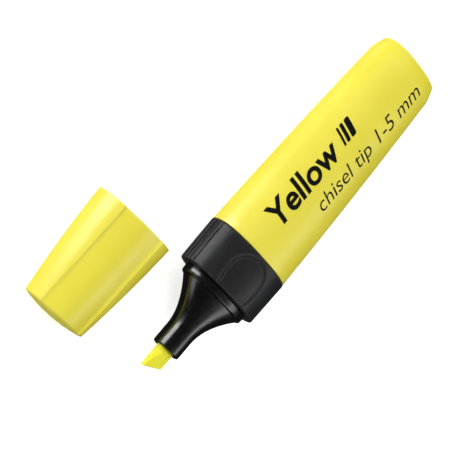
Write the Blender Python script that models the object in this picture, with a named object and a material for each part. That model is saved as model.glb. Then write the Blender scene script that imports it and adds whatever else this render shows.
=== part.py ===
"""Oval-barrelled highlighter, lying on its wide face with the cap pulled off beside it.

Metres, +Z up.  +X runs towards the nib, and the floor is Z = 0.  Every section across the
pen is an oval, given as a pair of half sizes: half its width, along Y, and half its
thickness, along Z.  In the pen's own frame x = 0 is the collar's front face, where the rim
of the closed cap stops; in the cap's own frame x = 0 is the mouth.
"""

import math

import bmesh
import bpy
from mathutils import Vector

MM = 0.001

# Sections
RING_POINTS = 48
BODY_ROUNDNESS = 2.4
FELT_ROUNDNESS = 3.4
RIM_TURNS = (90, 40, 0)
SHARP_ANGLE = math.radians(28)
FIT_GAP = 0.3 * MM

# Barrel
BARREL_LENGTH = 68.4 * MM
BARREL_FRONT_WIDTH = 27.1 * MM
BARREL_FRONT_THICKNESS = 14.6 * MM
BARREL_SHOULDER_WIDTH = 22.8 * MM
BARREL_SHOULDER_THICKNESS = 12.4 * MM
BARREL_SIDE_SWELL = 0.3 * MM
REAR_TAPER_LENGTH = 4.8 * MM
REAR_TAPER_SIDE_INSET = 1.05 * MM
REAR_TAPER_FACE_INSET = 0.6 * MM
REAR_TAPER_MIDDLE_SHARE = 0.38
BARREL_WALL = 1.2 * MM
BARREL_EDGE = 0.6 * MM

# Rear plug
PLUG_DEPTH = 5.0 * MM
PLUG_WALL = 1.2 * MM

# Grip collar
COLLAR_LENGTH = 12.85 * MM
COLLAR_PROUD = 0.15 * MM
COLLAR_FRONT_DRAFT = 0.25 * MM
COLLAR_EDGE = 0.45 * MM
SPIGOT_LENGTH = 7.5 * MM
SPIGOT_WALL = 0.75 * MM

# Nozzle
NOZZLE_REACH = 20.4 * MM
BEAD_LENGTH = 2.1 * MM
BEAD_REAR_EDGE = 0.2 * MM
BEAD_LIP = 0.55 * MM
FLARE_LENGTH = 12.4 * MM
FLARE_POWER = 1.85
FLARE_RINGS = 7
TUBE_WALL = 1.25 * MM
TUBE_EDGE = 0.4 * MM
NOZZLE_WALL = 1.3 * MM
THROAT_SHARE = 0.55
SKIRT_LENGTH = 12.0 * MM

# Nib
NIB_WIDTH = 5.0 * MM
NIB_THICKNESS = 3.4 * MM
NIB_REACH = 7.0 * MM
NIB_SLANT = 2.4 * MM
NIB_EDGE_THICKNESS = 2.0 * MM
NIB_BEVEL_LENGTH = 3.0 * MM
NIB_IN_RESERVOIR = 4.5 * MM
NIB_END_EDGE = 0.3 * MM

# Ink reservoir
RESERVOIR_END_SPACE = 2.0 * MM
FILM_CLEARANCE = 0.35 * MM
FILM_WALL = 0.25 * MM

# Cap
CAP_SIDE_STEP = 1.25 * MM
CAP_FACE_STEP = 0.1 * MM
CAP_END_WIDTH = 18.8 * MM
CAP_END_THICKNESS = 12.1 * MM
CAP_WALL = 0.9 * MM
CAP_END_WALL = 0.7 * MM
CAP_MOUTH_EDGE = 0.35 * MM
CAP_END_EDGE = 0.6 * MM
CAP_DOME = 1.0 * MM
DOME_SHARES = (0.75, 0.45, 0.15)
NIB_TIP_CLEARANCE = 1.3 * MM
SEAL_OVERLAP = 1.3 * MM
SEAL_WALL = 0.6 * MM
SEAL_CLEARANCE = 0.4 * MM
SEAL_FLANGE_DEPTH = 1.0 * MM

# The cap beside the pen
LANE_GAP = 4.85 * MM
CAP_AHEAD = 2.7 * MM
CAP_TURN = math.radians(1.9)

YELLOW = (0.90, 0.84, 0.10)
NIB_YELLOW = (0.92, 0.86, 0.05)
SATIN_BLACK = (0.035, 0.035, 0.037)
GLOSS_BLACK = (0.008, 0.008, 0.009)
FIBRE_YELLOW = (0.86, 0.82, 0.28)
FILM_CLEAR = (0.88, 0.88, 0.84)
SEAL_WHITE = (0.85, 0.85, 0.82)


def halves(width, thickness):
    return (width / 2, thickness / 2)


def grown(half_sizes, margin):
    return tuple(half + margin for half in half_sizes)


def blended(start, end, share):
    return tuple(a + (b - a) * share for a, b in zip(start, end))


# Half sizes that more than one piece takes its own from
BARREL_FRONT = halves(BARREL_FRONT_WIDTH, BARREL_FRONT_THICKNESS)
BARREL_SHOULDER = halves(BARREL_SHOULDER_WIDTH, BARREL_SHOULDER_THICKNESS)
BARREL_STRAIGHT_MIDDLE = blended(BARREL_FRONT, BARREL_SHOULDER, 0.5)
BARREL_MIDDLE = (BARREL_STRAIGHT_MIDDLE[0] + BARREL_SIDE_SWELL, BARREL_STRAIGHT_MIDDLE[1])
BARREL_END = (BARREL_SHOULDER[0] - REAR_TAPER_SIDE_INSET, BARREL_SHOULDER[1] - REAR_TAPER_FACE_INSET)
SPIGOT_REACH_SHARE = (SPIGOT_LENGTH + FIT_GAP) / (BARREL_LENGTH - REAR_TAPER_LENGTH)
SPIGOT = grown(blended(BARREL_FRONT, BARREL_SHOULDER, SPIGOT_REACH_SHARE), -BARREL_WALL - FIT_GAP)
COLLAR_BORE = grown(SPIGOT, -SPIGOT_WALL)
COLLAR_REAR = (BARREL_FRONT[0] + COLLAR_PROUD, BARREL_FRONT[1])
COLLAR_FRONT = grown(COLLAR_REAR, -COLLAR_FRONT_DRAFT)
SKIRT = grown(COLLAR_BORE, -FIT_GAP)
NIB = halves(NIB_WIDTH, NIB_THICKNESS)
NIB_BORE = grown(NIB, FIT_GAP)
TUBE = grown(NIB_BORE, TUBE_WALL)
BORE_SPACE = tuple(map(min, grown(BARREL_SHOULDER, -BARREL_WALL), COLLAR_BORE))
FILM = grown(BORE_SPACE, -FILM_CLEARANCE)
RESERVOIR = grown(FILM, -FILM_WALL - FIT_GAP)
CAP_MOUTH = (COLLAR_FRONT[0] - CAP_SIDE_STEP, COLLAR_FRONT[1] - CAP_FACE_STEP)
CAP_END = halves(CAP_END_WIDTH, CAP_END_THICKNESS)
BEAD = grown(CAP_MOUTH, -CAP_WALL - FIT_GAP)

# Stations along the pen, from the collar's front face
BARREL_X = -COLLAR_LENGTH - FIT_GAP
PLUG_X = BARREL_X - BARREL_LENGTH
RESERVOIR_X = -SKIRT_LENGTH - 2 * FIT_GAP
RESERVOIR_LENGTH = RESERVOIR_X - PLUG_X - PLUG_DEPTH - RESERVOIR_END_SPACE
BEAD_END_X = FIT_GAP + BEAD_LENGTH
FLARE_END_X = BEAD_END_X + FLARE_LENGTH
NIB_TIP_X = NOZZLE_REACH + NIB_REACH

# Stations along the cap, from its mouth
SEAL_MOUTH = FLARE_END_X - SEAL_OVERLAP
SEAL_END = NIB_TIP_X + NIB_TIP_CLEARANCE
CAVITY_END = SEAL_END + SEAL_FLANGE_DEPTH + FIT_GAP
CAP_LENGTH = CAVITY_END + CAP_END_WALL


def clear_scene():
    for old in list(bpy.data.objects):
        bpy.data.objects.remove(old, do_unlink=True)


def oval(x, half_sizes, roundness=BODY_ROUNDNESS):
    """One section at x, with a flat facet at the top, at the bottom and on both sides."""
    points = []
    for index in range(RING_POINTS):
        angle = 2 * math.pi * (index + 0.5) / RING_POINTS
        across, upright = (
            math.copysign(abs(part) ** (2 / roundness), part) for part in (math.cos(angle), math.sin(angle))
        )
        points.append(Vector((x, half_sizes[0] * across, half_sizes[1] * upright)))
    return points


def rounded_rim(x, half_sizes, edge, inward):
    """Rings that round an outer rim, from its flat face at x; inward is +1 or -1, into the piece."""
    rings = []
    for turn in RIM_TURNS:
        angle = math.radians(turn)
        shrink = edge * (1 - math.cos(angle))
        rings.append(oval(x + inward * edge * (1 - math.sin(angle)), grown(half_sizes, -shrink)))
    return rings


def fill_between(body, rings, joined_ends):
    """Skins the rings; the last ring joins the first when joined_ends is true, else both are filled."""
    loops = [[body.verts.new(point) for point in ring] for ring in rings]
    pairs = list(zip(loops, loops[1:]))
    if joined_ends:
        pairs.append((loops[-1], loops[0]))
    else:
        body.faces.new(loops[0])
        body.faces.new(loops[-1])
    for near, far in pairs:
        for index in range(RING_POINTS):
            after = (index + 1) % RING_POINTS
            body.faces.new((near[index], near[after], far[after], far[index]))
    bmesh.ops.recalc_face_normals(body, faces=body.faces)


def cut_away(body, point, normal):
    """Removes what lies beyond the plane and fills the cut."""
    parts = body.verts[:] + body.edges[:] + body.faces[:]
    bmesh.ops.bisect_plane(body, geom=parts, plane_co=point, plane_no=normal, clear_outer=True)
    open_edges = [edge for edge in body.edges if edge.is_boundary]
    bmesh.ops.holes_fill(body, edges=open_edges, sides=0)


def finished(body, name, parent, x, finish):
    """Makes the body a node at station x of its parent's axis."""
    mesh = bpy.data.meshes.new(name)
    body.to_mesh(mesh)
    body.free()
    mesh.shade_smooth()
    mesh.set_sharp_from_angle(angle=SHARP_ANGLE)
    mesh.materials.append(finish)
    node = bpy.data.objects.new(name, mesh)
    bpy.context.collection.objects.link(node)
    node.parent = parent
    node.location = (x, 0.0, 0.0)
    return node


def turned_piece(name, rings, joined_ends, parent, x, finish):
    body = bmesh.new()
    fill_between(body, rings, joined_ends)
    return finished(body, name, parent, x, finish)


def material(name, colour, roughness):
    finish = bpy.data.materials.new(name)
    finish.use_nodes = True
    shader = finish.node_tree.nodes["Principled BSDF"]
    shader.inputs["Base Color"].default_value = (*colour, 1.0)
    shader.inputs["Roughness"].default_value = roughness
    shader.inputs["Metallic"].default_value = 0.0
    return finish


def axis_empty(name, tilt, turn):
    empty = bpy.data.objects.new(name, None)
    bpy.context.collection.objects.link(empty)
    empty.rotation_euler = (0.0, tilt, turn)
    return empty


def make_barrel(axis, finish):
    """Open tube in a straight taper, then a steeper one that eases into the rear end."""
    shoulder_x = REAR_TAPER_LENGTH - BARREL_LENGTH
    middle_x = (shoulder_x - BARREL_LENGTH) / 2
    rings = [oval(0, BARREL_FRONT), oval(shoulder_x / 2, BARREL_MIDDLE), oval(shoulder_x, BARREL_SHOULDER)]
    rings.append(oval(middle_x, blended(BARREL_SHOULDER, BARREL_END, REAR_TAPER_MIDDLE_SHARE)))
    rings += reversed(rounded_rim(-BARREL_LENGTH, BARREL_END, BARREL_EDGE, 1))
    rings.append(oval(-BARREL_LENGTH, grown(BARREL_END, -BARREL_WALL)))
    rings.append(oval(shoulder_x, grown(BARREL_SHOULDER, -BARREL_WALL)))
    rings.append(oval(0, grown(BARREL_FRONT, -BARREL_WALL)))
    return turned_piece("barrel", rings, True, axis, BARREL_X, finish)


def make_rear_plug(axis, finish):
    """Cup pressed into the barrel's rear end, with its flat bottom flush with the rim."""
    outer = grown(BARREL_END, -BARREL_WALL - FIT_GAP)
    inner = grown(outer, -PLUG_WALL)
    rings = [oval(0, outer), oval(PLUG_DEPTH, outer), oval(PLUG_DEPTH, inner), oval(PLUG_WALL, inner)]
    return turned_piece("rear_plug", rings, False, axis, PLUG_X, finish)


def make_grip_collar(axis, finish):
    """Sleeve around the front, a little proud at its sides, with a spigot into the barrel."""
    rings = rounded_rim(0, COLLAR_FRONT, COLLAR_EDGE, -1)
    rings += [oval(-COLLAR_LENGTH, COLLAR_REAR), oval(-COLLAR_LENGTH, SPIGOT)]
    rings += [oval(-COLLAR_LENGTH - SPIGOT_LENGTH, SPIGOT), oval(-COLLAR_LENGTH - SPIGOT_LENGTH, COLLAR_BORE)]
    rings.append(oval(0, COLLAR_BORE))
    return turned_piece("grip_collar", rings, True, axis, 0.0, finish)


def flare_sizes(share):
    """Half sizes of the flare, which falls in a hollow curve from the bead (0) to the tube (1)."""
    return blended(TUBE, grown(BEAD, -BEAD_LIP), (1 - share) ** FLARE_POWER)


def make_nozzle(axis, finish):
    """Skirt inside the collar, bead, flare and tube in one piece, with a bore for the nib."""
    rings = [oval(-SKIRT_LENGTH, SKIRT), oval(FIT_GAP, SKIRT)]
    rings += [oval(FIT_GAP, grown(BEAD, -BEAD_REAR_EDGE)), oval(FIT_GAP + BEAD_REAR_EDGE, BEAD)]
    rings += reversed(rounded_rim(BEAD_END_X, BEAD, BEAD_LIP, -1))
    for ring in range(1, FLARE_RINGS + 1):
        share = ring / FLARE_RINGS
        rings.append(oval(BEAD_END_X + share * FLARE_LENGTH, flare_sizes(share)))
    rings += reversed(rounded_rim(NOZZLE_REACH, TUBE, TUBE_EDGE, -1))
    rings.append(oval(NOZZLE_REACH, NIB_BORE, FELT_ROUNDNESS))
    rings.append(oval(BEAD_END_X + THROAT_SHARE * FLARE_LENGTH, NIB_BORE, FELT_ROUNDNESS))
    rings.append(oval(BEAD_END_X, grown(SKIRT, -NOZZLE_WALL)))
    rings.append(oval(-SKIRT_LENGTH, grown(SKIRT, -NOZZLE_WALL)))
    return turned_piece("nozzle", rings, True, axis, 0.0, finish)


def make_nib(axis, finish):
    """Felt strip from the reservoir to its chisel tip, which is slanted across and bevelled above and below."""
    length = NIB_TIP_X - RESERVOIR_X + NIB_IN_RESERVOIR
    rings = [oval(-length, grown(NIB, -NIB_END_EDGE), FELT_ROUNDNESS)]
    rings += [oval(NIB_END_EDGE - length, NIB, FELT_ROUNDNESS), oval(0, NIB, FELT_ROUNDNESS)]
    body = bmesh.new()
    fill_between(body, rings, False)
    long_corner = Vector((0, -NIB[0], 0))
    forward = Vector((NIB_WIDTH, NIB_SLANT, 0)).normalized()
    cut_away(body, long_corner, forward)
    drop = (NIB_THICKNESS - NIB_EDGE_THICKNESS) / 2
    for side in (1, -1):
        edge_point = long_corner + Vector((0, 0, side * NIB_EDGE_THICKNESS / 2))
        normal = forward * drop + Vector((0, 0, side * NIB_BEVEL_LENGTH))
        cut_away(body, edge_point, normal.normalized())
    return finished(body, "nib", axis, NIB_TIP_X, finish)


def make_reservoir(axis, finish):
    """Fibre core with a pocket for the nib's rear end."""
    pocket_end = -NIB_IN_RESERVOIR - FIT_GAP
    rings = [oval(pocket_end, NIB_BORE, FELT_ROUNDNESS), oval(0, NIB_BORE, FELT_ROUNDNESS)]
    rings += [oval(0, RESERVOIR), oval(-RESERVOIR_LENGTH, RESERVOIR)]
    return turned_piece("ink_reservoir", rings, False, axis, RESERVOIR_X, finish)


def make_reservoir_film(axis, finish):
    inner = grown(FILM, -FILM_WALL)
    rings = [oval(0, FILM), oval(-RESERVOIR_LENGTH, FILM), oval(-RESERVOIR_LENGTH, inner), oval(0, inner)]
    return turned_piece("reservoir_film", rings, True, axis, RESERVOIR_X, finish)


def cap_sizes(x):
    """Outer half sizes of the cap at x, in a straight taper from the mouth to the end."""
    return blended(CAP_MOUTH, CAP_END, x / CAP_LENGTH)


def make_cap_shell(axis, finish):
    """Tapered oval cup with rounded rims and a low dome on its closed end."""
    dome_edge = grown(CAP_END, -CAP_END_EDGE)
    rings = [oval(CAVITY_END, grown(cap_sizes(CAVITY_END), -CAP_WALL)), oval(0, grown(CAP_MOUTH, -CAP_WALL))]
    rings += rounded_rim(0, CAP_MOUTH, CAP_MOUTH_EDGE, 1)
    rings += reversed(rounded_rim(CAP_LENGTH, CAP_END, CAP_END_EDGE, -1))
    for share in DOME_SHARES:
        height = CAP_DOME * (1 - share**2)
        rings.append(oval(CAP_LENGTH + height, [half * share for half in dome_edge]))
    return turned_piece("cap_shell", rings, False, axis, 0.0, finish)


def make_cap_seal(axis, finish):
    """Inner cup that closes around the nozzle's tube, on a flange that fits the end of the cap."""
    bore = grown(TUBE, SEAL_CLEARANCE)
    outer = grown(bore, SEAL_WALL)
    flange_end = SEAL_END + SEAL_FLANGE_DEPTH
    flange = grown(cap_sizes(flange_end), -CAP_WALL - FIT_GAP)
    rings = [oval(SEAL_END, bore), oval(SEAL_MOUTH, bore), oval(SEAL_MOUTH, outer)]
    rings += [oval(SEAL_END, outer), oval(SEAL_END, flange), oval(flange_end, flange)]
    return turned_piece("cap_seal", rings, False, axis, 0.0, finish)


def taper_tilt(big_end, small_end, length):
    """Angle between a tapered piece's axis and the floor when its lower facet lies flat on it."""
    facet_share = math.cos(math.pi / RING_POINTS) ** (2 / BODY_ROUNDNESS)
    return math.atan(facet_share * (big_end[1] - small_end[1]) / length)


def corners(nodes):
    """Lowest and highest corner of the nodes' common box in world space."""
    bpy.context.view_layer.update()
    points = [node.matrix_world @ vertex.co for node in nodes for vertex in node.data.vertices]
    low, high = (Vector([pick(point[i] for point in points) for i in range(3)]) for pick in (min, max))
    return low, high


def lay_on_floor(axis, nodes):
    low, _ = corners(nodes)
    axis.location.z -= low.z


def centre_on_origin(axes, nodes):
    """Moves both axes so that the whole object stands centred on the origin."""
    low, high = corners(nodes)
    middle = (low + high) / 2
    for axis in axes:
        axis.location.x -= middle.x
        axis.location.y -= middle.y
    bpy.context.view_layer.update()


def main():
    clear_scene()
    pen_tilt = taper_tilt(BARREL_FRONT, BARREL_SHOULDER, BARREL_LENGTH - REAR_TAPER_LENGTH)
    cap_tilt = taper_tilt(CAP_MOUTH, CAP_END, CAP_LENGTH - CAP_MOUTH_EDGE - CAP_END_EDGE)
    pen_axis = axis_empty("pen_axis", -pen_tilt, 0.0)
    cap_axis = axis_empty("cap_axis", cap_tilt, CAP_TURN)
    cap_axis.location = (CAP_AHEAD, -COLLAR_REAR[0] - LANE_GAP - CAP_MOUTH[0], 0.0)
    yellow = material("yellow_plastic", YELLOW, 0.35)
    pen = [
        make_barrel(pen_axis, yellow),
        make_rear_plug(pen_axis, yellow),
        make_grip_collar(pen_axis, material("satin_black", SATIN_BLACK, 0.5)),
        make_nozzle(pen_axis, material("gloss_black", GLOSS_BLACK, 0.15)),
        make_nib(pen_axis, material("nib_felt", NIB_YELLOW, 0.85)),
        make_reservoir(pen_axis, material("fibre", FIBRE_YELLOW, 0.95)),
        make_reservoir_film(pen_axis, material("film", FILM_CLEAR, 0.2)),
    ]
    cap = [
        make_cap_shell(cap_axis, yellow),
        make_cap_seal(cap_axis, material("seal_plastic", SEAL_WHITE, 0.4)),
    ]
    lay_on_floor(pen_axis, pen)
    lay_on_floor(cap_axis, cap)
    centre_on_origin((pen_axis, cap_axis), pen + cap)


main()
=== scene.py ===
import math

import bmesh
import bpy
import numpy as np
from mathutils import Matrix, Vector, noise


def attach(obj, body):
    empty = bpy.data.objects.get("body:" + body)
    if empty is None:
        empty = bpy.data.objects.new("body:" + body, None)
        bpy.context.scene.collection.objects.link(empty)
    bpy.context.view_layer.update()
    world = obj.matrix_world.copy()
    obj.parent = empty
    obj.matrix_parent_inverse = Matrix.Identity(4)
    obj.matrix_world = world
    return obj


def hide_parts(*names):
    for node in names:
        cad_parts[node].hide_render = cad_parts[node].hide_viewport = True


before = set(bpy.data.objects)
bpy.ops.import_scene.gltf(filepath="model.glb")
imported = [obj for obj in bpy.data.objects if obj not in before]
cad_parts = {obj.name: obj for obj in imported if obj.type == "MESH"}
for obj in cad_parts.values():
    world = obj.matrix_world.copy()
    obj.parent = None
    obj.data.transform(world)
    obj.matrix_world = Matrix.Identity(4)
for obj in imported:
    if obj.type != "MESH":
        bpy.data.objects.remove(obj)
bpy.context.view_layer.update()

# The oval highlighter with its cap off.  The pen's own space has x = 0 at the grip collar's
# front face and +X towards the nib; the cap's own space has x = 0 at its mouth and +X towards
# its closed end.  Ovals are pairs of half sizes: half the width and half the thickness.
MM = 0.001
CAD_RING_POINTS = 48
BODY_ROUNDNESS = 2.4
FELT_ROUNDNESS = 3.4
AROUND = 160
SMOOTH_ANGLE = math.radians(32)
SEAM = 0.06 * MM
SAME_RING = 0.03 * MM
SAME_PLACE = 0.01 * MM
WELD_DISTANCE = 0.002 * MM
NEAR_AXIS_SHARE = 0.16
OUTER_RING_SHARE = 0.85
CUT_THRESHOLD = 1e-7

# Barrel and rear plug
BARREL_FRONT_EDGE = 0.12 * MM
BARREL_REAR_EDGE = 0.95 * MM
BARREL_STEPS = 24
REAR_EASE = 1.5
REAR_STEPS = 9
PLUG_PANEL_BORDER = 1.3 * MM
PLUG_PANEL_DEPTH = 0.25 * MM
PLUG_PANEL_LIP = 0.06 * MM
PLUG_PANEL_LIP_WIDTH = 0.35 * MM
PLUG_RIM_EDGE = 0.15 * MM
GATE_WIDTH = 1.5 * MM
GATE_DEPTH = 0.12 * MM

# Grip collar
COLLAR_RING_STEP = 0.19 * MM
COLLAR_FACE_STEP = 0.24 * MM
COLLAR_SIDE_STEP = 0.075 * MM
RIBBED_HEIGHT = 4.0 * MM
GROOVE_PITCH = 1.55 * MM
GROOVES_EACH_WAY = 2
GROOVE_HALF_WIDTH = 0.27 * MM
GROOVE_DEPTH = 0.38 * MM
GROOVE_END_SPACE = 0.35 * MM
THUMB_CENTRE = -6.1 * MM
THUMB_REACH = 5.6 * MM
THUMB_HALF_WIDTH = 5.75 * MM
THUMB_FRONT_HALF_WIDTH = 5.0 * MM
THUMB_DEPTH = 0.04 * MM
THUMB_BORDER_HEIGHT = 0.2 * MM
THUMB_BORDER_HALF_WIDTH = 0.62 * MM
COLLAR_FRONT_EDGE = 0.45 * MM
COLLAR_REAR_EDGE = 0.12 * MM
COLLAR_SKIN_SHARE = 0.93
COLLAR_FACE_SHARE = 0.75

# Nozzle
BEAD_REAR_EDGE = 0.25 * MM
BEAD_EDGE = 0.35 * MM
BEAD_EDGE_LENGTH = 1.35 * MM
BEAD_FOOT = 0.7 * MM
BEAD_FOOT_TURN = math.radians(40)
BEAD_FOOT_STEPS = 5
FLARE_POWER = 1.85
FLARE_STEPS = 36
TUBE_EDGE = 0.45 * MM
TUBE_WIDTH_MATCH = 0.01
BORE_EDGE = 0.15 * MM
BORE_START = 6 * MM
BORE_SHARE = 1.1

# Nib
NIB_STATION_STEP = 0.22 * MM
NIB_AROUND = 96
NIB_REAR_EDGE = 0.3 * MM
NIB_HELD_LENGTH = 2 * MM
NIB_TIP_LENGTH = 0.05 * MM
NIB_SIDE_SHARE = 0.8
NIB_FACE_SHARE = 0.98
FELT_GRID = 0.13 * MM
FELT_SMOOTHING = 0.5
FELT_SMOOTHING_ROUNDS = 9
FELT_FUZZ = 0.05 * MM
FELT_ALONG = 350.0
FELT_ACROSS = 3200.0

# Cap
CAP_SIDE_SWELL = 0.4 * MM
PANEL_HALF_WIDTH = 6.3 * MM
PANEL_STEP_WIDTH = 1.0 * MM
PANEL_DEPTH = 0.5 * MM
PANEL_CROWN = 0.38 * MM
CAP_STATION_STEP = 1.0 * MM
CAP_MOUTH_EDGE = 0.3 * MM
CAP_END_EDGE = 0.8 * MM
CAP_SIDE_COLUMNS = 16
CAP_STEP_COLUMNS = 9
CAP_PANEL_COLUMNS = 15
SNAP_RING_X = 1.6 * MM
SNAP_RING_HEIGHT = 0.12 * MM
SNAP_RING_HALF_LENGTH = 0.5 * MM
SNAP_RING_PROFILE = ((1.0, 0.0), (0.5, 0.7), (0.0, 1.0), (-0.5, 0.7), (-1.0, 0.0))
DOME_SHARES = (0.84, 0.7, 0.55, 0.4, 0.25, 0.12, 0.04)
SEAL_LEAD_IN = 0.3 * MM
SEAL_FOOT = 0.3 * MM
SEAL_RIM_EDGE = 0.12 * MM
SEAL_FLANGE_EDGE = 0.1 * MM

# Printing on the barrel: spans are the start, the end and the middle line; styles are the
# letters' extra weight and their slant
INK_HEIGHT = 0.03 * MM
INK_THICKNESS = 0.8 * INK_HEIGHT
INK_GRID = 0.4 * MM
TITLE_STYLE = (0.022, 0.12)
LINE_STYLE = (-0.004, 0.2)
TITLE_SPAN = (-21.6 * MM, -48.0 * MM, -4.75 * MM)
MARKS_SPAN = (-49.9 * MM, -56.0 * MM, -4.9 * MM)
LINE_SPAN = (-33.6 * MM, -76.5 * MM, 4.2 * MM)
MARK_WIDTHS = (0.8 * MM, 1.3 * MM, 2.0 * MM)
MARK_SPACE = 0.7 * MM
MARK_HEIGHT = 5.6 * MM
MARK_SLANT = 0.25
MARK_CORNER_SHARE = 0.3

# Colours of the finishes
# The paler edge colours of the lemon, grip and gloss finishes go on raised edges, as wear and also
# as a painted highlight.
LEMON, LEMON_PALE, LEMON_WORN_AND_HIGHLIGHT = (0.79, 0.69, 0.036), (0.83, 0.74, 0.05), (0.93, 0.87, 0.22)
GRIP_DARK, GRIP_LIGHT, GRIP_WORN_AND_HIGHLIGHT = (0.012, 0.012, 0.013), (0.018, 0.018, 0.019), (0.06, 0.06, 0.062)
GLOSS_DARK, GLOSS_LIGHT = (0.002, 0.002, 0.0022), (0.0035, 0.0035, 0.0038)
GLOSS_WORN_AND_HIGHLIGHT = (0.03, 0.03, 0.031)
INK_BLACK, INK_OPEN = (0.004, 0.004, 0.004), (0.03, 0.027, 0.006)
FELT_LIGHT, FELT_DARK, FELT_STREAK = (0.86, 0.80, 0.012), (0.79, 0.71, 0.010), (0.95, 0.93, 0.06)
FIBRE_DARK, FIBRE_LIGHT = (0.74, 0.70, 0.12), (0.90, 0.88, 0.40)
FILM_DULL, FILM_CLEAR = (0.86, 0.86, 0.80), (0.93, 0.93, 0.88)
SEAL_DULL, SEAL_LIGHT = (0.80, 0.80, 0.74), (0.87, 0.87, 0.83)
FLOOR_GREY, FLOOR_WHITE = (0.95, 0.95, 0.95), (0.96, 0.96, 0.96)
WHITE_LIGHT = (1.0, 1.0, 1.0, 1.0)

# Stage and camera
FLOOR_SIZE = 6.0
FLOOR_DROP = 0.02 * MM
FLOOR_GLOW = 0.65
WORLD_STRENGTH = 0.02
CAMERA_TARGET = Vector((10.16, 4.676, 7.0)) * MM
CAMERA_DISTANCE = 389.6 * MM
CAMERA_AZIMUTH = math.radians(23.64)
CAMERA_ELEVATION = math.radians(58.39)
CAMERA_ROLL = math.radians(110.78)
CAMERA_LENS = 120.9
SENSOR_WIDTH = 36.0
NEAR_CLIP = 0.01

# Lights: azimuth and elevation in degrees, distance, width and height in metres, and radiance
LIGHTS = {
    "key": (356, 21, 0.7, 0.2, 0.84, 7.0),
    "strip": (175, 43, 0.7, 0.9, 0.15, 2.5),
    "front": (62, 18, 0.7, 0.35, 0.4, 1.5),
    "overhead": (280, 62, 1.5, 1.6, 1.6, 2.45),
}


# ---------------------------------------------------------------- measuring the frame


def cad_corners(node):
    """The corners of a CAD node, each once."""
    body = bmesh.new()
    body.from_mesh(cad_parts[node].data)
    bmesh.ops.remove_doubles(body, verts=body.verts, dist=WELD_DISTANCE)
    corners = [vertex.co.copy() for vertex in body.verts]
    body.free()
    return corners


def own_space(node, start_node, start):
    """The space of a piece with the same section above, below and on both sides of its axis.

    X runs along it, Y across it and Z upright; x = 0 is start_node's lowest or highest station.
    """
    corners = cad_corners(node)
    middle = sum(corners, Vector()) / len(corners)
    spread = np.cov(np.array(corners).T)
    _, axes = np.linalg.eigh(spread)
    along = Vector(axes[:, 2]) * math.copysign(1, axes[0, 2])
    across = Vector(axes[:, 1]) * math.copysign(1, axes[1, 1])
    upright = along.cross(across)
    turn = Matrix((along, across, upright)).transposed().to_4x4()
    zero = start((corner - middle).dot(along) for corner in cad_corners(start_node))
    return Matrix.Translation(middle + along * zero) @ turn


PEN = own_space("barrel", "grip_collar", max)
CAP = own_space("cap_shell", "cap_shell", min)
FACET_SHARE = math.cos(math.pi / CAD_RING_POINTS) ** (2 / BODY_ROUNDNESS)


def corners_in(node, space):
    inverse = space.inverted()
    return [inverse @ corner for corner in cad_corners(node)]


def stations(node, space):
    """The x of each of a CAD node's rings, from the lowest."""
    found = []
    for corner in sorted(corners_in(node, space), key=lambda corner: corner.x):
        if not found or corner.x - found[-1] > SAME_RING:
            found.append(corner.x)
    return found


def ring_at(node, space, x):
    """A CAD node's corners at its ring at x."""
    return [corner for corner in corners_in(node, space) if abs(corner.x - x) < SAME_RING]


def widest_at(node, space, x):
    return max(abs(corner.y) for corner in ring_at(node, space, x))


def oval_at(node, space, x, inner=False):
    """Half width and half thickness of a CAD node's outer or inner oval at its ring at x."""
    near = ring_at(node, space, x)
    reach_y = max(abs(corner.y) for corner in near)
    reach_z = max(abs(corner.z) for corner in near)
    widths = [abs(corner.y) for corner in near if abs(corner.z) < NEAR_AXIS_SHARE * reach_z]
    heights = [abs(corner.z) for corner in near if abs(corner.y) < NEAR_AXIS_SHARE * reach_y]
    pick = min if inner else max
    return pick(widths) / FACET_SHARE, pick(heights) / FACET_SHARE


# ---------------------------------------------------------------- shaping


def grown(oval, margin):
    return oval[0] + margin, oval[1] + margin


def mixed(start, end, share):
    return tuple(a + (b - a) * share for a, b in zip(start, end))


def eased(share):
    """0 to 1 in an S curve, level at both ends."""
    share = min(max(share, 0.0), 1.0)
    return share * share * (3 - 2 * share)


def even_angles(count=AROUND):
    return [2 * math.pi * index / count for index in range(count)]


def powered(value, power):
    """A power that keeps the value's sign."""
    return math.copysign(abs(value) ** power, value)


def oval_point(x, oval, angle, roundness):
    across = powered(math.cos(angle), 2 / roundness)
    upright = powered(math.sin(angle), 2 / roundness)
    return Vector((x, oval[0] * across, oval[1] * upright))


def angle_on(oval, point, roundness=BODY_ROUNDNESS):
    """The angle that oval_point would have made the point from."""
    across = powered(point.y / oval[0], roundness / 2)
    upright = powered(point.z / oval[1], roundness / 2)
    return math.atan2(upright, across) % (2 * math.pi)


def edge_arc(x, oval, radius, inward, steps=6):
    """Rings that round an outer edge at the face at x; inward, +1 or -1, points into the piece."""
    rings = []
    for step in range(steps + 1):
        angle = math.pi / 2 * (1 - step / steps)
        shrink = radius * (1 - math.cos(angle))
        rings.append((x + inward * radius * (1 - math.sin(angle)), grown(oval, -shrink)))
    return rings


def deselect():
    for thing in bpy.context.selected_objects:
        thing.select_set(False)


def select_where(piece, mode, wanted):
    """In edit mode, selects only the vertices, edges or faces that the rule wants."""
    bpy.ops.mesh.select_mode(type=mode)
    bpy.ops.mesh.select_all(action="DESELECT")
    body = bmesh.from_edit_mesh(piece.data)
    for element in {"VERT": body.verts, "EDGE": body.edges, "FACE": body.faces}[mode]:
        if wanted(element):
            element.select_set(True)
    body.select_flush_mode()
    bmesh.update_edit_mesh(piece.data)


def lies_at(edge, x):
    return all(abs(vertex.co.x - x) < SAME_PLACE for vertex in edge.verts)


def boundary_at(x):
    """A rule that picks the open edges at station x."""
    return lambda edge: edge.is_boundary and lies_at(edge, x)


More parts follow.
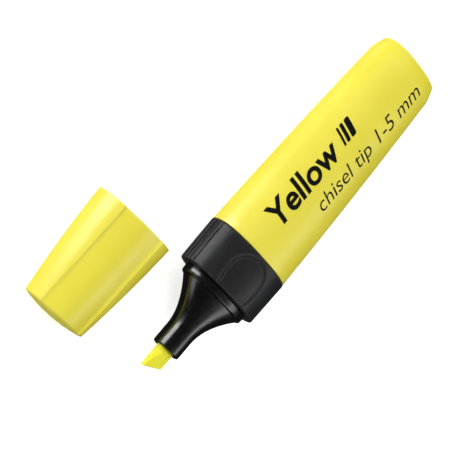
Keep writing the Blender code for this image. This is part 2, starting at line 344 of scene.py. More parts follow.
def oval_tube(name, rings, angles=None, roundness=BODY_ROUNDNESS):
    """A tube: the first ring, extruded, moved and resized to each next one, as (x, oval)."""
    angles = angles or even_angles()
    start_x, start_oval = rings[0]
    deselect()
    bpy.ops.mesh.primitive_circle_add(vertices=len(angles), radius=start_oval[0])
    tube = bpy.context.object
    tube.name = name
    tube.data.name = name
    for vertex, angle in zip(tube.data.vertices, angles):
        vertex.co = oval_point(start_x, start_oval, angle, roundness)
    bpy.ops.object.mode_set(mode="EDIT")
    bpy.ops.mesh.select_all(action="SELECT")
    for (old_x, old), (new_x, new) in zip(rings, rings[1:]):
        bpy.ops.mesh.extrude_region_move(TRANSFORM_OT_translate={"value": (new_x - old_x, 0, 0)})
        growth = (1, new[0] / old[0], new[1] / old[1])
        bpy.ops.transform.resize(value=growth, center_override=(new_x, 0, 0))
    bpy.ops.object.mode_set(mode="OBJECT")
    return tube


def close_tube(tube):
    """Joins a tube whose last ring lies on its first, and turns its faces outwards."""
    bpy.ops.object.mode_set(mode="EDIT")
    bpy.ops.mesh.select_all(action="SELECT")
    bpy.ops.mesh.remove_doubles(threshold=WELD_DISTANCE)
    bpy.ops.mesh.normals_make_consistent(inside=False)
    bpy.ops.object.mode_set(mode="OBJECT")


def fill_ends(tube, *ends):
    """Fills a tube's open ends at these stations and turns its faces outwards."""
    bpy.ops.object.mode_set(mode="EDIT")
    for x in ends:
        select_where(tube, "EDGE", boundary_at(x))
        bpy.ops.mesh.edge_face_add()
    bpy.ops.mesh.select_all(action="SELECT")
    bpy.ops.mesh.normals_make_consistent(inside=False)
    bpy.ops.object.mode_set(mode="OBJECT")


def round_edge(tube, x, oval, radius, segments):
    """Bevels the ring of edges at station x that lies on the oval."""

    def on_ring(edge):
        return lies_at(edge, x) and all(
            (vertex.co.y / oval[0]) ** 2 + (vertex.co.z / oval[1]) ** 2 > OUTER_RING_SHARE
            for vertex in edge.verts
        )

    bpy.ops.object.mode_set(mode="EDIT")
    select_where(tube, "EDGE", on_ring)
    bpy.ops.mesh.bevel(offset=radius, segments=segments, affect="EDGES", clamp_overlap=True)
    bpy.ops.object.mode_set(mode="OBJECT")


def mark_edges(piece):
    """Stores how sharply the surface turns outwards at each vertex, for edge wear and a painted
    highlight along raised edges.
    """
    body = bmesh.new()
    body.from_mesh(piece.data)
    wear_and_highlight = []
    for vertex in body.verts:
        turns = [edge.calc_face_angle_signed(0.0) for edge in vertex.link_edges]
        wear_and_highlight.append(min(1.0, max(0.0, 2.0 * max(turns, default=0.0))))
    body.free()
    attribute = piece.data.attributes.new("edge_wear_and_highlight", "FLOAT", "POINT")
    attribute.data.foreach_set("value", wear_and_highlight)


def finish_piece(piece, space, finish, body, slot, *nodes):
    """Puts a piece in its place, gives it its finish and ties it to the frame."""
    deselect()
    piece.select_set(True)
    bpy.context.view_layer.objects.active = piece
    mark_edges(piece)
    bpy.ops.object.shade_smooth_by_angle(angle=SMOOTH_ANGLE)
    piece.matrix_world = space
    bpy.ops.object.transform_apply(location=True, rotation=True, scale=True)
    piece.data.materials.clear()
    piece.data.materials.append(finish)
    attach(piece, body)
    if nodes:
        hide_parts(*nodes)
    return piece


# ---------------------------------------------------------------- finishes


class Finish:
    """A Principled material, with short ways to add the nodes that its patterns need."""

    def __init__(self, name, roughness, **constants):
        self.material = bpy.data.materials.new(name)
        self.material.use_nodes = True
        self.tree = self.material.node_tree
        self.shader = self.tree.nodes["Principled BSDF"]
        self.shader.inputs["Roughness"].default_value = roughness
        for socket, value in constants.items():
            self.shader.inputs[socket.replace("_", " ")].default_value = value
        self.place = self.tree.nodes.new("ShaderNodeTexCoord").outputs["Object"]

    def link(self, output, node, socket):
        self.tree.links.new(output, node.inputs[socket])

    def grain(self, scale, detail=2.0, stretch=(1, 1, 1)):
        """Noise with about scale / 1000 features a millimetre; stretch multiplies that by axis."""
        mapping = self.tree.nodes.new("ShaderNodeMapping")
        mapping.inputs["Scale"].default_value = stretch
        self.link(self.place, mapping, "Vector")
        node = self.tree.nodes.new("ShaderNodeTexNoise")
        node.inputs["Scale"].default_value = scale
        node.inputs["Detail"].default_value = detail
        self.link(mapping.outputs["Vector"], node, "Vector")
        return node.outputs["Fac"]

    def ranged(self, value, low, high, start=0.3, end=0.7):
        node = self.tree.nodes.new("ShaderNodeMapRange")
        node.inputs["From Min"].default_value = start
        node.inputs["From Max"].default_value = end
        node.inputs["To Min"].default_value = low
        node.inputs["To Max"].default_value = high
        self.link(value, node, "Value")
        return node.outputs["Result"]

    def attribute(self, name):
        node = self.tree.nodes.new("ShaderNodeAttribute")
        node.attribute_name = name
        return node.outputs["Fac"]

    def product(self, first, second):
        node = self.tree.nodes.new("ShaderNodeMath")
        node.operation = "MULTIPLY"
        self.link(first, node, 0)
        self.link(second, node, 1)
        return node.outputs["Value"]

    def mix(self, share, first, second):
        """A colour between two, which are colours or outputs."""
        node = self.tree.nodes.new("ShaderNodeMix")
        node.data_type = "RGBA"
        self.link(share, node, "Factor")
        targets = [entry for entry in node.inputs if entry.type == "RGBA"]
        for target, colour in zip(targets, (first, second)):
            if isinstance(colour, tuple):
                target.default_value = (*colour, 1.0)
            else:
                self.tree.links.new(colour, target)
        return next(entry for entry in node.outputs if entry.type == "RGBA")

    def wear_and_highlight(self, base, rubbed_and_highlight_colour, scale, low, high):
        """The base colour with patches of a paler one on raised edges: wear there, and a painted
        highlight.
        """
        patches = self.ranged(self.grain(scale, 4.0), low, high)
        return self.mix(self.product(self.attribute("edge_wear_and_highlight"), patches), base, rubbed_and_highlight_colour)

    def colour(self, output):
        self.link(output, self.shader, "Base Color")

    def roughness(self, output):
        self.link(output, self.shader, "Roughness")

    def relief(self, *layers):
        """Bump from (height, strength, depth) layers, each laid on the one before."""
        normal = None
        for height, strength, depth in layers:
            node = self.tree.nodes.new("ShaderNodeBump")
            node.inputs["Strength"].default_value = strength
            node.inputs["Distance"].default_value = depth
            self.link(height, node, "Height")
            if normal is not None:
                self.link(normal, node, "Normal")
            normal = node.outputs["Normal"]
        self.link(normal, self.shader, "Normal")


def lemon_plastic():
    """Semi-gloss moulded plastic in fluorescent lemon."""
    finish = Finish("lemon_plastic", 0.34, IOR=1.49, Specular_IOR_Level=1.0)
    clouds = finish.ranged(finish.grain(70.0), 0.0, 1.0)
    base = finish.mix(clouds, LEMON, LEMON_PALE)
    # Paler patches on raised edges: wear, and a painted highlight.
    finish.colour(finish.wear_and_highlight(base, LEMON_WORN_AND_HIGHLIGHT, 900.0, 0.0, 0.55))
    finish.roughness(finish.ranged(finish.grain(420.0, 4.0), 0.3, 0.38))
    waves, pores = finish.grain(300.0, 1.0), finish.grain(3800.0, 3.0)
    finish.relief((waves, 0.12, 0.05 * MM), (pores, 0.1, 0.02 * MM))
    return finish.material


def satin_black():
    """Fine-textured black plastic of the grip."""
    finish = Finish("satin_black", 0.4, IOR=1.49, Specular_IOR_Level=0.42)
    clouds = finish.ranged(finish.grain(110.0, 3.0), 0.0, 1.0)
    base = finish.mix(clouds, GRIP_DARK, GRIP_LIGHT)
    # Lighter patches on raised edges such as the thumb rest's border: wear, and a painted highlight.
    finish.colour(finish.wear_and_highlight(base, GRIP_WORN_AND_HIGHLIGHT, 1200.0, 0.1, 0.8))
    finish.roughness(finish.ranged(finish.grain(700.0, 4.0), 0.3, 0.4))
    finish.relief((finish.grain(5200.0, 3.0), 0.22, 0.03 * MM))
    return finish.material


def gloss_black():
    """Polished black plastic of the nozzle."""
    finish = Finish("gloss_black", 0.23, IOR=1.5, Specular_IOR_Level=1.0)
    clouds = finish.ranged(finish.grain(160.0, 3.0), 0.0, 1.0)
    base = finish.mix(clouds, GLOSS_DARK, GLOSS_LIGHT)
    # Lighter patches on raised edges: wear, and a painted highlight.
    finish.colour(finish.wear_and_highlight(base, GLOSS_WORN_AND_HIGHLIGHT, 1500.0, 0.0, 0.6))
    finish.roughness(finish.ranged(finish.grain(600.0, 5.0), 0.2, 0.27))
    finish.relief((finish.grain(420.0, 1.0), 0.08, 0.03 * MM))
    return finish.material


def print_ink():
    """Screen-printed black ink with slightly open edges."""
    finish = Finish("print_ink", 0.5, IOR=1.46, Specular_IOR_Level=0.15)
    specks = finish.ranged(finish.grain(3400.0, 4.0), 0.0, 1.0, 0.62, 0.75)
    finish.colour(finish.mix(specks, INK_BLACK, INK_OPEN))
    finish.roughness(finish.ranged(finish.grain(1900.0, 3.0), 0.45, 0.6))
    finish.relief((finish.grain(4200.0, 2.0), 0.15, 0.01 * MM))
    return finish.material


def ink_soaked_felt():
    """Pressed felt of the nib, wet with fluorescent ink, with fibres that run along it."""
    finish = Finish("ink_soaked_felt", 0.85, Sheen_Weight=0.35, Sheen_Roughness=0.5)
    fibres = finish.grain(1.0, 4.0, (260.0, 3600.0, 3600.0))
    blotches = finish.ranged(finish.grain(480.0, 3.0), 0.0, 1.0)
    base = finish.mix(blotches, FELT_LIGHT, FELT_DARK)
    streaks = finish.mix(finish.ranged(fibres, 0.0, 0.75), base, FELT_STREAK)
    finish.colour(streaks)
    finish.roughness(finish.ranged(fibres, 0.75, 0.95))
    finish.relief((fibres, 0.5, 0.06 * MM), (finish.grain(7000.0, 4.0), 0.35, 0.03 * MM))
    return finish.material


def reservoir_fibre():
    """Bundled fibre of the ink reservoir."""
    finish = Finish("reservoir_fibre", 0.9, Sheen_Weight=0.3)
    fibres = finish.grain(1.0, 5.0, (60.0, 2600.0, 2600.0))
    finish.colour(finish.mix(finish.ranged(fibres, 0.0, 1.0), FIBRE_DARK, FIBRE_LIGHT))
    finish.relief((fibres, 0.6, 0.1 * MM))
    return finish.material


def reservoir_film():
    """Thin clear film around the reservoir."""
    finish = Finish("reservoir_film", 0.2, IOR=1.46, Transmission_Weight=0.6)
    creases = finish.grain(180.0, 3.0, (0.3, 1, 1))
    finish.colour(finish.mix(finish.ranged(creases, 0.0, 1.0), FILM_DULL, FILM_CLEAR))
    finish.roughness(finish.ranged(creases, 0.15, 0.3))
    finish.relief((creases, 0.3, 0.05 * MM))
    return finish.material


def natural_plastic():
    """Uncoloured, slightly waxy plastic of the cap's inner seal."""
    finish = Finish("natural_plastic", 0.42, IOR=1.5, Subsurface_Weight=0.2, Subsurface_Scale=0.001)
    clouds = finish.ranged(finish.grain(220.0, 3.0), 0.0, 1.0)
    finish.colour(finish.mix(clouds, SEAL_DULL, SEAL_LIGHT))
    finish.roughness(finish.ranged(finish.grain(900.0, 3.0), 0.36, 0.5))
    finish.relief((finish.grain(3000.0, 2.0), 0.15, 0.02 * MM))
    return finish.material


# ---------------------------------------------------------------- the pen


def barrel_ovals():
    """Stations and ovals that the barrel, its print and its plug share."""
    rear, _, rim, *_, shoulder, middle, front = stations("barrel", PEN)
    front_oval, shoulder_oval = oval_at("barrel", PEN, front), oval_at("barrel", PEN, shoulder)
    straight = mixed(front_oval, shoulder_oval, (middle - front) / (shoulder - front))
    return {
        "front": (front, front_oval),
        "shoulder": (shoulder, shoulder_oval),
        "side_swell": oval_at("barrel", PEN, middle)[0] - straight[0],
        "rear": (rear, oval_at("barrel", PEN, rim)),
        "front_bore": oval_at("barrel", PEN, front, inner=True),
        "shoulder_bore": oval_at("barrel", PEN, shoulder, inner=True),
        "rear_bore": oval_at("barrel", PEN, rear, inner=True),
    }


BARREL = barrel_ovals()


def barrel_oval(x):
    """The barrel's outer oval at x, from front to shoulder; its narrow sides swell midway."""
    (front, front_oval), (shoulder, shoulder_oval) = BARREL["front"], BARREL["shoulder"]
    share = (x - front) / (shoulder - front)
    half_width, half_thickness = mixed(front_oval, shoulder_oval, share)
    return half_width + BARREL["side_swell"] * 4 * share * (1 - share), half_thickness


def make_barrel(finish):
    """Tapered oval tube whose sides ease in at the rear."""
    front, front_oval = BARREL["front"]
    shoulder, shoulder_oval = BARREL["shoulder"]
    rear, rear_oval = BARREL["rear"]
    rings = [(front, BARREL["front_bore"])]
    rings += edge_arc(front, front_oval, BARREL_FRONT_EDGE, -1, 3)
    for step in range(1, BARREL_STEPS + 1):
        x = front + (shoulder - front) * step / BARREL_STEPS
        rings.append((x, barrel_oval(x)))
    rear_arc = edge_arc(rear, rear_oval, BARREL_REAR_EDGE, 1, 8)
    arc_start = rear_arc[-1][0]
    for step in range(1, REAR_STEPS):
        share = step / REAR_STEPS
        x = shoulder + (arc_start - shoulder) * share
        rings.append((x, mixed(shoulder_oval, rear_oval, share**REAR_EASE)))
    rings += reversed(rear_arc)
    rings += [(rear, BARREL["rear_bore"]), (shoulder, BARREL["shoulder_bore"]), rings[0]]
    barrel = oval_tube("barrel_shell", rings)
    close_tube(barrel)
    return finish_piece(barrel, PEN, finish, "pen", "yellow_plastic", "barrel")


def make_rear_plug(finish):
    """Cup in the barrel's rear end, its bottom sunk inside a border, with the mark of its gate."""
    rear, floor_top, *_, mouth = stations("rear_plug", PEN)
    outer = grown(BARREL["rear_bore"], -SEAM)
    panel = grown(outer, -PLUG_PANEL_BORDER)
    gate = (GATE_WIDTH / 2, GATE_WIDTH / 2)
    sunk = rear + PLUG_PANEL_DEPTH
    rings = [(sunk + GATE_DEPTH, grown(gate, -GATE_DEPTH)), (sunk, gate), (sunk, panel)]
    rings.append((rear + PLUG_PANEL_LIP, grown(panel, PLUG_PANEL_DEPTH)))
    rings.append((rear, grown(panel, PLUG_PANEL_LIP_WIDTH)))
    rings += edge_arc(rear, outer, PLUG_RIM_EDGE, 1, 3)
    wall = oval_at("rear_plug", PEN, mouth, inner=True)
    rings += [(mouth, outer), (mouth, wall), (floor_top, wall)]
    plug = oval_tube("rear_plug_cup", rings)
    fill_ends(plug, sunk + GATE_DEPTH, floor_top)
    return finish_piece(plug, PEN, finish, "pen", "yellow_plastic", "rear_plug")


def collar_angles(oval):
    """Columns around the collar: close together over the ribbed sides, wider over the faces."""
    quarter = []
    for step in range(int(RIBBED_HEIGHT / COLLAR_SIDE_STEP)):
        height = step * COLLAR_SIDE_STEP
        quarter.append(math.asin((height / oval[1]) ** (BODY_ROUNDNESS / 2)))
    ribbed_angle = math.asin((RIBBED_HEIGHT / oval[1]) ** (BODY_ROUNDNESS / 2))
    start = oval_point(0, oval, ribbed_angle, BODY_ROUNDNESS)
    count = round(start.y / COLLAR_FACE_STEP)
    for step in range(count):
        width = start.y * (1 - step / count)
        quarter.append(math.acos((width / oval[0]) ** (BODY_ROUNDNESS / 2)))
    return four_quarters(quarter)


def four_quarters(quarter):
    """The angles round an oval from its first quarter's, which start at 0 and stop before 90."""
    half = quarter + [math.pi / 2] + [math.pi - angle for angle in reversed(quarter[1:])]
    return half + [math.pi + angle for angle in half]


def thumb_distance(x, y):
    """Distance outside the outline of the thumb rest, which is an arch open towards the front."""
    behind = (x - THUMB_CENTRE) / THUMB_REACH
    if behind < 0:
        return (math.hypot(y / THUMB_HALF_WIDTH, behind) - 1) * THUMB_REACH
    drawn_in = (THUMB_HALF_WIDTH - THUMB_FRONT_HALF_WIDTH) * (x / THUMB_CENTRE - 1) ** 2
    return abs(y) - THUMB_HALF_WIDTH + drawn_in


def collar_relief(x, y, z, length):
    """How far the collar's surface is sunk on its wide faces and on its narrow sides."""
    outside = thumb_distance(x, y)
    face = THUMB_DEPTH * eased(0.5 - outside / (2 * THUMB_BORDER_HALF_WIDTH))
    face -= THUMB_BORDER_HEIGHT * math.exp(-((outside / THUMB_BORDER_HALF_WIDTH) ** 2) * 2)
    side = 0.0
    from_end = min(-x, x + length)
    for groove in range(-GROOVES_EACH_WAY, GROOVES_EACH_WAY + 1):
        off_centre = abs(z - groove * GROOVE_PITCH) / GROOVE_HALF_WIDTH
        if off_centre < 1:
            depth = GROOVE_DEPTH * math.cos(off_centre * math.pi / 2)
            side = depth * eased(from_end / GROOVE_END_SPACE)
    return face, side


def make_grip_collar(finish):
    """Sleeve with an arched thumb rest on both faces and fine grooves along its narrow sides."""
    spigot_end, rear, full, *_, front = stations("grip_collar", PEN)
    rear_oval = oval_at("grip_collar", PEN, rear)
    front_oval = oval_at("grip_collar", PEN, full)
    bore = oval_at("grip_collar", PEN, spigot_end, inner=True)
    spigot = oval_at("grip_collar", PEN, spigot_end)
    length = front - rear
    rear_arc = edge_arc(rear, rear_oval, COLLAR_REAR_EDGE, 1, 3)
    front_arc = edge_arc(front, front_oval, COLLAR_FRONT_EDGE, -1, 6)
    count = round(length / COLLAR_RING_STEP)
    first, last = rear_arc[-1], front_arc[-1]
    rings = [(rear, spigot), *rear_arc]
    for step in range(1, count):
        share = step / count
        rings.append((first[0] + (last[0] - first[0]) * share, mixed(first[1], last[1], share)))
    rings += reversed(front_arc)
    rings += [(front, bore), (spigot_end, bore), (spigot_end, spigot), (rear, spigot)]
    collar = oval_tube("grip_collar_sleeve", rings, collar_angles(rear_oval))
    for vertex in collar.data.vertices:
        x, y, z = vertex.co
        if outward_share(vertex.co, rear_oval) <= COLLAR_SKIN_SHARE or x <= rear - SAME_PLACE:
            continue
        face, side = collar_relief(x - front, y, z, length)
        if abs(y) < rear_oval[0] * COLLAR_FACE_SHARE:
            vertex.co.z -= math.copysign(face, z)
        elif abs(z) < RIBBED_HEIGHT:
            vertex.co.y -= math.copysign(side, y)
    close_tube(collar)
    return finish_piece(collar, PEN, finish, "pen", "satin_black", "grip_collar")


def outward_share(point, oval):
    """How far out a point lies across the oval: 0 on the axis, 1 on the oval itself."""
    total = abs(point.y / oval[0]) ** BODY_ROUNDNESS + abs(point.z / oval[1]) ** BODY_ROUNDNESS
    return total ** (1 / BODY_ROUNDNESS)


def make_nozzle(finish):
    """Skirt, rounded bead, hollow flare and tube in one piece, with the nib's bore."""
    places = stations("nozzle", PEN)
    skirt_end, bead_rear, bead_full, front = places[0], places[1], places[2], places[-1]
    bead_front = places[5]
    tube_oval = oval_at("nozzle", PEN, places[-3])
    past_bead = ((x, widest_at("nozzle", PEN, x) / tube_oval[0]) for x in places[6:])
    flare_end = next(x for x, width in past_bead if abs(width - 1) < TUBE_WIDTH_MATCH)
    bead = oval_at("nozzle", PEN, bead_full)
    skirt = oval_at("nozzle", PEN, skirt_end)
    skirt_bore = oval_at("nozzle", PEN, skirt_end, inner=True)
    bore = oval_at("nozzle", PEN, front, inner=True)
    rings = [(skirt_end, skirt), (bead_rear, skirt)]
    rings += edge_arc(bead_rear, bead, BEAD_REAR_EDGE, 1, 4)
    for back, oval in reversed(edge_arc(0.0, bead, BEAD_EDGE, -1, 8)):
        rings.append((bead_front + back * BEAD_EDGE_LENGTH / BEAD_EDGE, oval))
    for step in range(1, BEAD_FOOT_STEPS):
        angle = BEAD_FOOT_TURN * step / BEAD_FOOT_STEPS
        in_by = BEAD_EDGE + BEAD_FOOT * math.sin(angle)
        rings.append((bead_front + BEAD_FOOT * (1 - math.cos(angle)), grown(bead, -in_by)))
    flare_start = bead_front + BEAD_FOOT * (1 - math.cos(BEAD_FOOT_TURN))
    flare_oval = grown(bead, -BEAD_EDGE - BEAD_FOOT * math.sin(BEAD_FOOT_TURN))
    for step in range(FLARE_STEPS + 1):
        share = step / FLARE_STEPS
        x = flare_start + (flare_end - flare_start) * share
        rings.append((x, mixed(tube_oval, flare_oval, (1 - share) ** FLARE_POWER)))
    rings += reversed(edge_arc(front, tube_oval, TUBE_EDGE, -1, 6))
    rings += [(front, grown(bore, BORE_EDGE)), (front - BORE_EDGE, bore)]
    rings += [(bead_front + BORE_START, bore), (bead_front, skirt_bore)]
    rings += [(skirt_end, skirt_bore), (skirt_end, skirt)]
    nozzle = oval_tube("nozzle_moulding", rings)
    for vertex in nozzle.data.vertices:
        in_bore = outward_share(vertex.co, bore) < BORE_SHARE and vertex.co.x > bead_front + MM
        if in_bore:
            oval = grown(bore, BORE_EDGE * (vertex.co.x > front - SAME_PLACE))
            vertex.co = oval_point(vertex.co.x, oval, angle_on(oval, vertex.co), FELT_ROUNDNESS)
    close_tube(nozzle)
    return finish_piece(nozzle, PEN, finish, "pen", "gloss_black", "nozzle")


def cut_off(piece, point, normal):
    """Cuts away what lies beyond a plane and fills the cut."""
    bpy.ops.mesh.select_all(action="SELECT")
    bpy.ops.mesh.bisect(
        plane_co=point, plane_no=normal, use_fill=True, clear_outer=True, threshold=CUT_THRESHOLD
    )


def soften_felt(nib):
    """Rounds the felt's edges a little and gives its surface loose fibres that run along it."""
    even = nib.modifiers.new("even", "REMESH")
    even.mode = "VOXEL"
    even.voxel_size = FELT_GRID
    bpy.ops.object.modifier_apply(modifier=even.name)
    round_off = nib.modifiers.new("round_off", "SMOOTH")
    round_off.factor = FELT_SMOOTHING
    round_off.iterations = FELT_SMOOTHING_ROUNDS
    bpy.ops.object.modifier_apply(modifier=round_off.name)
    outward = [vertex.normal.copy() for vertex in nib.data.vertices]
    for vertex, normal in zip(nib.data.vertices, outward):
        x, y, z = vertex.co
        fibre = noise.noise(Vector((x * FELT_ALONG, y * FELT_ACROSS, z * FELT_ACROSS)))
        vertex.co += normal * FELT_FUZZ * (fibre - 0.5)


def make_nib(finish):
    """Felt strip with a slanted chisel tip, bevelled above and below."""
    corners = corners_in("nib", PEN)
    tip = max(corner.x for corner in corners)
    rear = min(corner.x for corner in corners)
    oval = (max(corner.y for corner in corners), max(corner.z for corner in corners))
    long_corner = max(corners, key=lambda corner: (round(corner.x, 5), -corner.y))
    edge_half = max(abs(corner.z) for corner in corners if corner.x > tip - NIB_TIP_LENGTH)
    short_side = [corner for corner in corners if corner.y > oval[0] * NIB_SIDE_SHARE]
    short_corner = max(short_side, key=lambda corner: corner.x)
    bevel_start = max(corner.x for corner in corners if corner.z > oval[1] * NIB_FACE_SHARE)
    fine_start = stations("nozzle", PEN)[-1] - NIB_HELD_LENGTH
    rings = [(rear, grown(oval, -NIB_REAR_EDGE)), (rear + NIB_REAR_EDGE, oval), (fine_start, oval)]
    for step in range(1, round((tip - fine_start) / NIB_STATION_STEP) + 1):
        rings.append((fine_start + step * NIB_STATION_STEP, oval))
    nib = oval_tube("nib_felt", rings, even_angles(NIB_AROUND), FELT_ROUNDNESS)
    fill_ends(nib, rear, rings[-1][0])
    slant = Vector((short_corner.y - long_corner.y, long_corner.x - short_corner.x, 0)).normalized()
    edge = Vector((tip, -oval[0], 0))
    drop, run = oval[1] - edge_half, tip - bevel_start
    bpy.ops.object.mode_set(mode="EDIT")
    cut_off(nib, edge, slant)
    for side in (1, -1):
        normal = slant * drop + Vector((0, 0, side * run))
        cut_off(nib, edge + Vector((0, 0, side * edge_half)), normal.normalized())
    bpy.ops.object.mode_set(mode="OBJECT")
    soften_felt(nib)
    return finish_piece(nib, PEN, finish, "pen", "nib_felt", "nib")


# ---------------------------------------------------------------- the cap


def cap_ovals():
    """Stations and outer ovals at the cap's mouth and closed end."""
    places = stations("cap_shell", CAP)
    mouth_full, cavity_end, end_full, _, end = places[2:7]
    return {
        "mouth": (mouth_full, oval_at("cap_shell", CAP, mouth_full)),
        "end": (end_full, oval_at("cap_shell", CAP, end_full)),
        "length": end,
        "top": places[-1],
        "cavity_end": (cavity_end, oval_at("cap_shell", CAP, cavity_end, inner=True)),
    }


CAP_SIZES = cap_ovals()


def cap_oval(x):
    """The cap's outer oval at x; its narrow sides swell midway."""
    (start_x, start), (end_x, end) = CAP_SIZES["mouth"], CAP_SIZES["end"]
    share = (x - start_x) / (end_x - start_x)
    half_width, half_thickness = mixed(start, end, share)
    return half_width + CAP_SIDE_SWELL * 4 * share * (1 - share), half_thickness


def cap_angles(oval):
    """Columns round the cap that stay in line with the panel's two straight edges."""

    def angle_at(width):
        return math.acos((width / oval[0]) ** (BODY_ROUNDNESS / 2))

    step_edge = PANEL_HALF_WIDTH + PANEL_STEP_WIDTH
    quarter = [angle_at(step_edge) * column / CAP_SIDE_COLUMNS for column in range(CAP_SIDE_COLUMNS)]
    for column in range(CAP_STEP_COLUMNS):
        quarter.append(angle_at(step_edge - PANEL_STEP_WIDTH * column / CAP_STEP_COLUMNS))
    for column in range(CAP_PANEL_COLUMNS):
        quarter.append(angle_at(PANEL_HALF_WIDTH * (1 - column / CAP_PANEL_COLUMNS)))
    return four_quarters(quarter)


def make_cap_shell(finish):
    """Tapered oval cup with a shallow crowned panel on both wide faces and a low domed end."""
    cavity_end, cavity_oval = CAP_SIZES["cavity_end"]
    length = CAP_SIZES["length"]
    wall = cavity_oval[0] - cap_oval(cavity_end)[0]
    rings = [(cavity_end, cavity_oval)]
    for offset, height in SNAP_RING_PROFILE:
        x = SNAP_RING_X + offset * SNAP_RING_HALF_LENGTH
        rings.append((x, grown(cap_oval(x), wall - SNAP_RING_HEIGHT * height)))
    rings.append((0.0, grown(cap_oval(0.0), wall)))
    first_outer = len(rings)
    count = round(length / CAP_STATION_STEP)
    for step in range(count + 1):
        x = length * step / count
        rings.append((x, cap_oval(x)))
    first_dome = len(rings)
    dome = CAP_SIZES["top"] - length
    for share in DOME_SHARES:
        oval = tuple(half * share for half in cap_oval(length))
        rings.append((length + dome * (1 - share**2), oval))
    shell = oval_tube("cap_shell_cup", rings, cap_angles(cap_oval(0.0)))
    ring_angles = [cap_angles(cap_oval(min(x, length))) for x, _ in rings]
    for index, vertex in enumerate(shell.data.vertices):
        ring, column = divmod(index, len(ring_angles[0]))
        x, oval = rings[ring]
        vertex.co = oval_point(x, oval, ring_angles[ring][column], BODY_ROUNDNESS)
        if first_outer <= ring < first_dome:
            inside = PANEL_HALF_WIDTH + PANEL_STEP_WIDTH - abs(vertex.co.y)
            crown = PANEL_CROWN * eased((inside - PANEL_STEP_WIDTH) / PANEL_HALF_WIDTH)
            sunk = PANEL_DEPTH * eased(inside / PANEL_STEP_WIDTH) - crown
            vertex.co.z -= math.copysign(sunk, vertex.co.z)
    fill_ends(shell, cavity_end, rings[-1][0])
    round_edge(shell, length, cap_oval(length), CAP_END_EDGE, 6)
    round_edge(shell, 0.0, cap_oval(0.0), CAP_MOUTH_EDGE, 4)
    return finish_piece(shell, CAP, finish, "cap", "yellow_plastic", "cap_shell")


def make_cap_seal(finish):
    """Inner cup around the nozzle's tube, with a lead-in at its mouth, on a flange."""
    mouth, flange_start, end = stations("cap_seal", CAP)
    bore = oval_at("cap_seal", CAP, mouth, inner=True)
    outer = oval_at("cap_seal", CAP, mouth)
    flange = oval_at("cap_seal", CAP, end)
    rings = [(flange_start, bore), (mouth + SEAL_LEAD_IN, bore)]
    rings.append((mouth, grown(bore, SEAL_LEAD_IN / 2)))
    rings += edge_arc(mouth, outer, SEAL_RIM_EDGE, 1, 3)
    rings += [(flange_start - SEAL_FOOT, outer), (flange_start, grown(outer, SEAL_FOOT))]
    rings += edge_arc(flange_start, flange, SEAL_FLANGE_EDGE, 1, 3)
    rings.append((end, flange))
    seal = oval_tube("cap_seal_cup", rings)
    fill_ends(seal, flange_start, end)
    return finish_piece(seal, CAP, finish, "cap", "seal_plastic", "cap_seal")


# ---------------------------------------------------------------- printing


def barrel_height(x, y):
    """Height of the barrel's upper face above the pen's axis."""
    half_width, half_thickness = barrel_oval(x)
    return half_thickness * (1 - abs(y / half_width) ** BODY_ROUNDNESS) ** (1 / BODY_ROUNDNESS)


def lettering(name, words, weight, slant):
    """Flat mesh of some words."""
    deselect()
    bpy.ops.object.text_add()
    text = bpy.context.object
    text.name = name
    text.data.body = words
    text.data.offset = weight
    text.data.shear = slant
    bpy.ops.object.convert(target="MESH")
    return bpy.context.object


def width_marks(name):
    """Three slanted strokes, thin to broad, that stand for the line widths of the nib."""
    deselect()
    left = 0.0
    bars = []
    for width in MARK_WIDTHS:
        bpy.ops.mesh.primitive_plane_add(size=1.0, location=(left + width / 2, MARK_HEIGHT / 2, 0))
        bar = bpy.context.object
        for vertex in bar.data.vertices:
            vertex.co.x *= width
            vertex.co.y *= MARK_HEIGHT
            vertex.co.x += vertex.co.y * MARK_SLANT
        bpy.ops.object.mode_set(mode="EDIT")
        bpy.ops.mesh.select_all(action="SELECT")
        bpy.ops.mesh.bevel(offset=width * MARK_CORNER_SHARE, segments=4, affect="VERTICES")
        bpy.ops.object.mode_set(mode="OBJECT")
        bars.append(bar)
        left += width + MARK_SPACE
    for bar in bars:
        bar.select_set(True)
    bpy.ops.object.join()
    marks = bpy.context.object
    marks.name = name
    bpy.ops.object.transform_apply(location=True, rotation=True, scale=True)
    return marks


def lay_on_barrel(flat, start, end, middle):
    """Scales flat lettering to its span along the pen, wraps it on the barrel and thickens it.

    It reads towards the rear, with its foot towards +Y.
    """
    corners = [vertex.co for vertex in flat.data.vertices]
    low_x, high_x = min(corner.x for corner in corners), max(corner.x for corner in corners)
    low_y, high_y = min(corner.y for corner in corners), max(corner.y for corner in corners)
    scale = (start - end) / (high_x - low_x)
    for corner in corners:
        corner.x = start - (corner.x - low_x) * scale
        corner.y = middle - (corner.y - (low_y + high_y) / 2) * scale
    reach = (high_y - low_y) * scale / 2
    bpy.ops.object.mode_set(mode="EDIT")
    bpy.ops.mesh.select_all(action="SELECT")
    bpy.ops.mesh.remove_doubles(threshold=WELD_DISTANCE / 2)
    for cut in range(1, int(2 * reach / INK_GRID)):
        bpy.ops.mesh.select_all(action="SELECT")
        place = (0, middle - reach + cut * INK_GRID, 0)
        bpy.ops.mesh.bisect(plane_co=place, plane_no=(0, 1, 0), threshold=CUT_THRESHOLD)
    bpy.ops.object.mode_set(mode="OBJECT")
    for vertex in flat.data.vertices:
        vertex.co.z = barrel_height(vertex.co.x, vertex.co.y) + INK_HEIGHT
    thickness = flat.modifiers.new("thickness", "SOLIDIFY")
    thickness.thickness = INK_THICKNESS
    thickness.offset = 0.0
    bpy.ops.object.modifier_apply(modifier=thickness.name)
    bpy.ops.object.mode_set(mode="EDIT")
    bpy.ops.mesh.select_all(action="SELECT")
    bpy.ops.mesh.normals_make_consistent(inside=False)
    bpy.ops.object.mode_set(mode="OBJECT")
    return flat


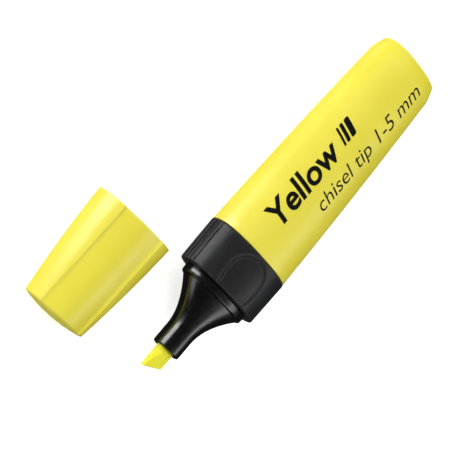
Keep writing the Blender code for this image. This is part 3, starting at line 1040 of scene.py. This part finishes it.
def make_print(finish):
    """The colour's name, three line widths and what the nib is, in one ink."""
    title = lettering("print_title", "Yellow", *TITLE_STYLE)
    lay_on_barrel(title, *TITLE_SPAN)
    finish_piece(title, PEN, finish, "pen", "satin_black")
    marks = width_marks("print_width_marks")
    lay_on_barrel(marks, *MARKS_SPAN)
    finish_piece(marks, PEN, finish, "pen", "satin_black")
    line = lettering("print_line", "chisel tip 1-5 mm", *LINE_STYLE)
    lay_on_barrel(line, *LINE_SPAN)
    finish_piece(line, PEN, finish, "pen", "satin_black")


lemon = lemon_plastic()
make_barrel(lemon)
make_rear_plug(lemon)
make_grip_collar(satin_black())
make_nozzle(gloss_black())
make_nib(ink_soaked_felt())
make_cap_shell(lemon)
make_cap_seal(natural_plastic())
make_print(print_ink())
for node, slot, finish in (
    ("ink_reservoir", "reservoir_fibre", reservoir_fibre()),
    ("reservoir_film", "reservoir_film", reservoir_film()),
):
    hidden_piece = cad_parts[node]
    hidden_piece.data.materials.clear()
    hidden_piece.data.materials.append(finish)

# ---------------------------------------------------------------- stage, light and camera


def direction(azimuth, elevation):
    """Unit vector towards a place; azimuth 0 is the -Y side and 90 degrees the +X side."""
    flat = math.cos(elevation)
    return Vector((math.sin(azimuth) * flat, -math.cos(azimuth) * flat, math.sin(elevation)))


def make_camera():
    back = direction(CAMERA_AZIMUTH, CAMERA_ELEVATION)
    level = Vector((0, 0, 1)).cross(back).normalized()
    rise = back.cross(level)
    right = level * math.cos(CAMERA_ROLL) + rise * math.sin(CAMERA_ROLL)
    turn = Matrix((right, back.cross(right), back)).transposed().to_4x4()
    lens = bpy.data.cameras.new("camera")
    lens.lens = CAMERA_LENS
    lens.sensor_width = SENSOR_WIDTH
    lens.clip_start = NEAR_CLIP
    camera = bpy.data.objects.new("camera", lens)
    bpy.context.scene.collection.objects.link(camera)
    camera.matrix_world = Matrix.Translation(CAMERA_TARGET + back * CAMERA_DISTANCE) @ turn
    bpy.context.scene.camera = camera


def softbox(name, azimuth, elevation, distance, width, height, radiance):
    """Rectangular light that faces the object; its width runs level."""
    lamp = bpy.data.lights.new(name, "AREA")
    lamp.shape = "RECTANGLE"
    lamp.size, lamp.size_y = width, height
    lamp.energy = radiance * math.pi * width * height
    light = bpy.data.objects.new(name, lamp)
    bpy.context.scene.collection.objects.link(light)
    towards = direction(math.radians(azimuth), math.radians(elevation))
    light.location = CAMERA_TARGET + towards * distance
    light.rotation_euler = towards.to_track_quat("Z", "Y").to_euler()
    return light


def make_stage():
    """A glowing pale floor and the lights, in front of a nearly black world.

    The floor and the overhead light aren't mirrored, so the black pieces keep dark outlines.
    """
    world = bpy.data.worlds.new("studio")
    world.use_nodes = True
    background = world.node_tree.nodes["Background"]
    background.inputs["Color"].default_value = WHITE_LIGHT
    background.inputs["Strength"].default_value = WORLD_STRENGTH
    bpy.context.scene.world = world
    deselect()
    bpy.ops.mesh.primitive_plane_add(size=FLOOR_SIZE, location=(0, 0, -FLOOR_DROP))
    floor = bpy.context.object
    floor.name = "floor"
    pale = Finish("pale_floor", 0.9, Specular_IOR_Level=0.1)
    pale.colour(pale.mix(pale.ranged(pale.grain(12.0), 0.0, 1.0), FLOOR_GREY, FLOOR_WHITE))
    pale.shader.inputs["Emission Color"].default_value = WHITE_LIGHT
    pale.shader.inputs["Emission Strength"].default_value = FLOOR_GLOW
    floor.data.materials.append(pale.material)
    floor.visible_glossy = False
    for name, measures in LIGHTS.items():
        light = softbox(name, *measures)
        light.visible_glossy = name != "overhead"
    bpy.context.scene.view_settings.view_transform = "Standard"


make_stage()
make_camera()
